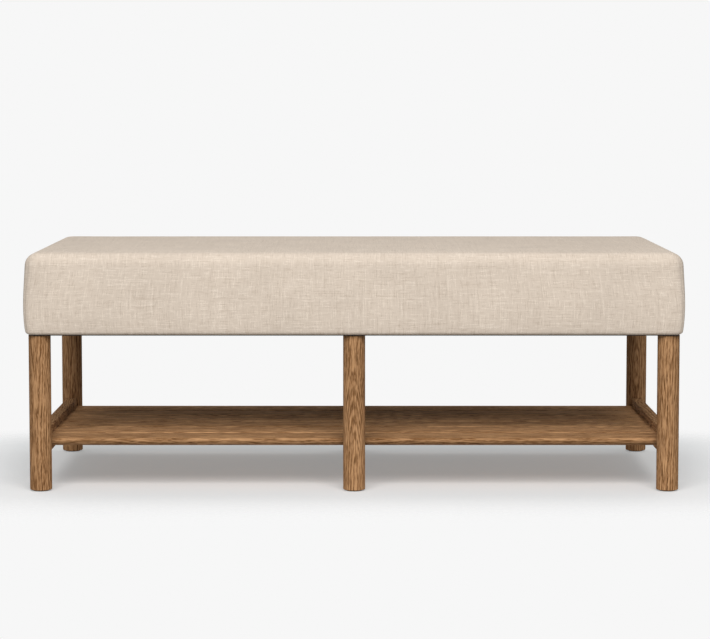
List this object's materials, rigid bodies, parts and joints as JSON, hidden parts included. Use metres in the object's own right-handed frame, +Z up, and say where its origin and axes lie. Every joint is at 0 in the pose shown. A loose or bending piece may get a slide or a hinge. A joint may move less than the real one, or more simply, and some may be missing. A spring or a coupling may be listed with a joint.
{
  "type": "ottoman with storage",
  "caption": "Long upholstered bench ottoman on round wooden posts, with an open slatted storage shelf between the side rails below the padded seat.",
  "frame": {"origin": "on the floor under the middle of the seat", "axes": "+X along the seat to the right as seen from the front, +Y to the back, +Z up"},
  "size_m": [1.372, 0.684, 0.4998],
  "materials": {
    "oak": "satin",
    "linen": "matte",
    "foam": "matte",
    "softwood": "matte",
    "plywood": "matte",
    "cambric": "matte",
    "steel": "satin",
    "nylon": "matte"
  },
  "bodies": {
    "root": {"base_rail_front": "softwood", "base_rail_left": "softwood", "base_rail_rear": "softwood", "base_rail_right": "softwood", "centre_rail": "oak", "cross_rail_centre": "softwood", "cross_rail_left": "softwood", "cross_rail_right": "softwood", "deck": "plywood", "dust_cover": "cambric", "foam_pad": "foam", "foam_wrap": "foam", "glide_front_centre": "nylon", "glide_front_left": "nylon", "glide_front_right": "nylon", "glide_rear_centre": "nylon", "glide_rear_left": "nylon", "glide_rear_right": "nylon", "hanger_bolt_front_centre": "steel", "hanger_bolt_front_left": "steel", "hanger_bolt_front_right": "steel", "hanger_bolt_rear_centre": "steel", "hanger_bolt_rear_left": "steel", "hanger_bolt_rear_right": "steel", "leg_front_centre": "oak", "leg_front_left": "oak", "leg_front_right": "oak", "leg_rear_centre": "oak", "leg_rear_left": "oak", "leg_rear_right": "oak", "panel_front": "plywood", "panel_left": "plywood", "panel_rear": "plywood", "panel_right": "plywood", "rib_centre": "plywood", "rib_left": "plywood", "rib_right": "plywood", "seat_cover": "linen", "side_rail_left": "oak", "side_rail_right": "oak", "slat_1": "oak", "slat_2": "oak", "slat_3": "oak", "slat_4": "oak", "slat_5": "oak", "slat_6": "oak", "slat_screw_1": "steel", "slat_screw_2": "steel", "slat_screw_3": "steel", "slat_screw_4": "steel", "slat_screw_5": "steel", "slat_screw_6": "steel", "tee_nut_front_centre": "steel", "tee_nut_front_left": "steel", "tee_nut_front_right": "steel", "tee_nut_rear_centre": "steel", "tee_nut_rear_left": "steel", "tee_nut_rear_right": "steel"}
  },
  "joints": []
}
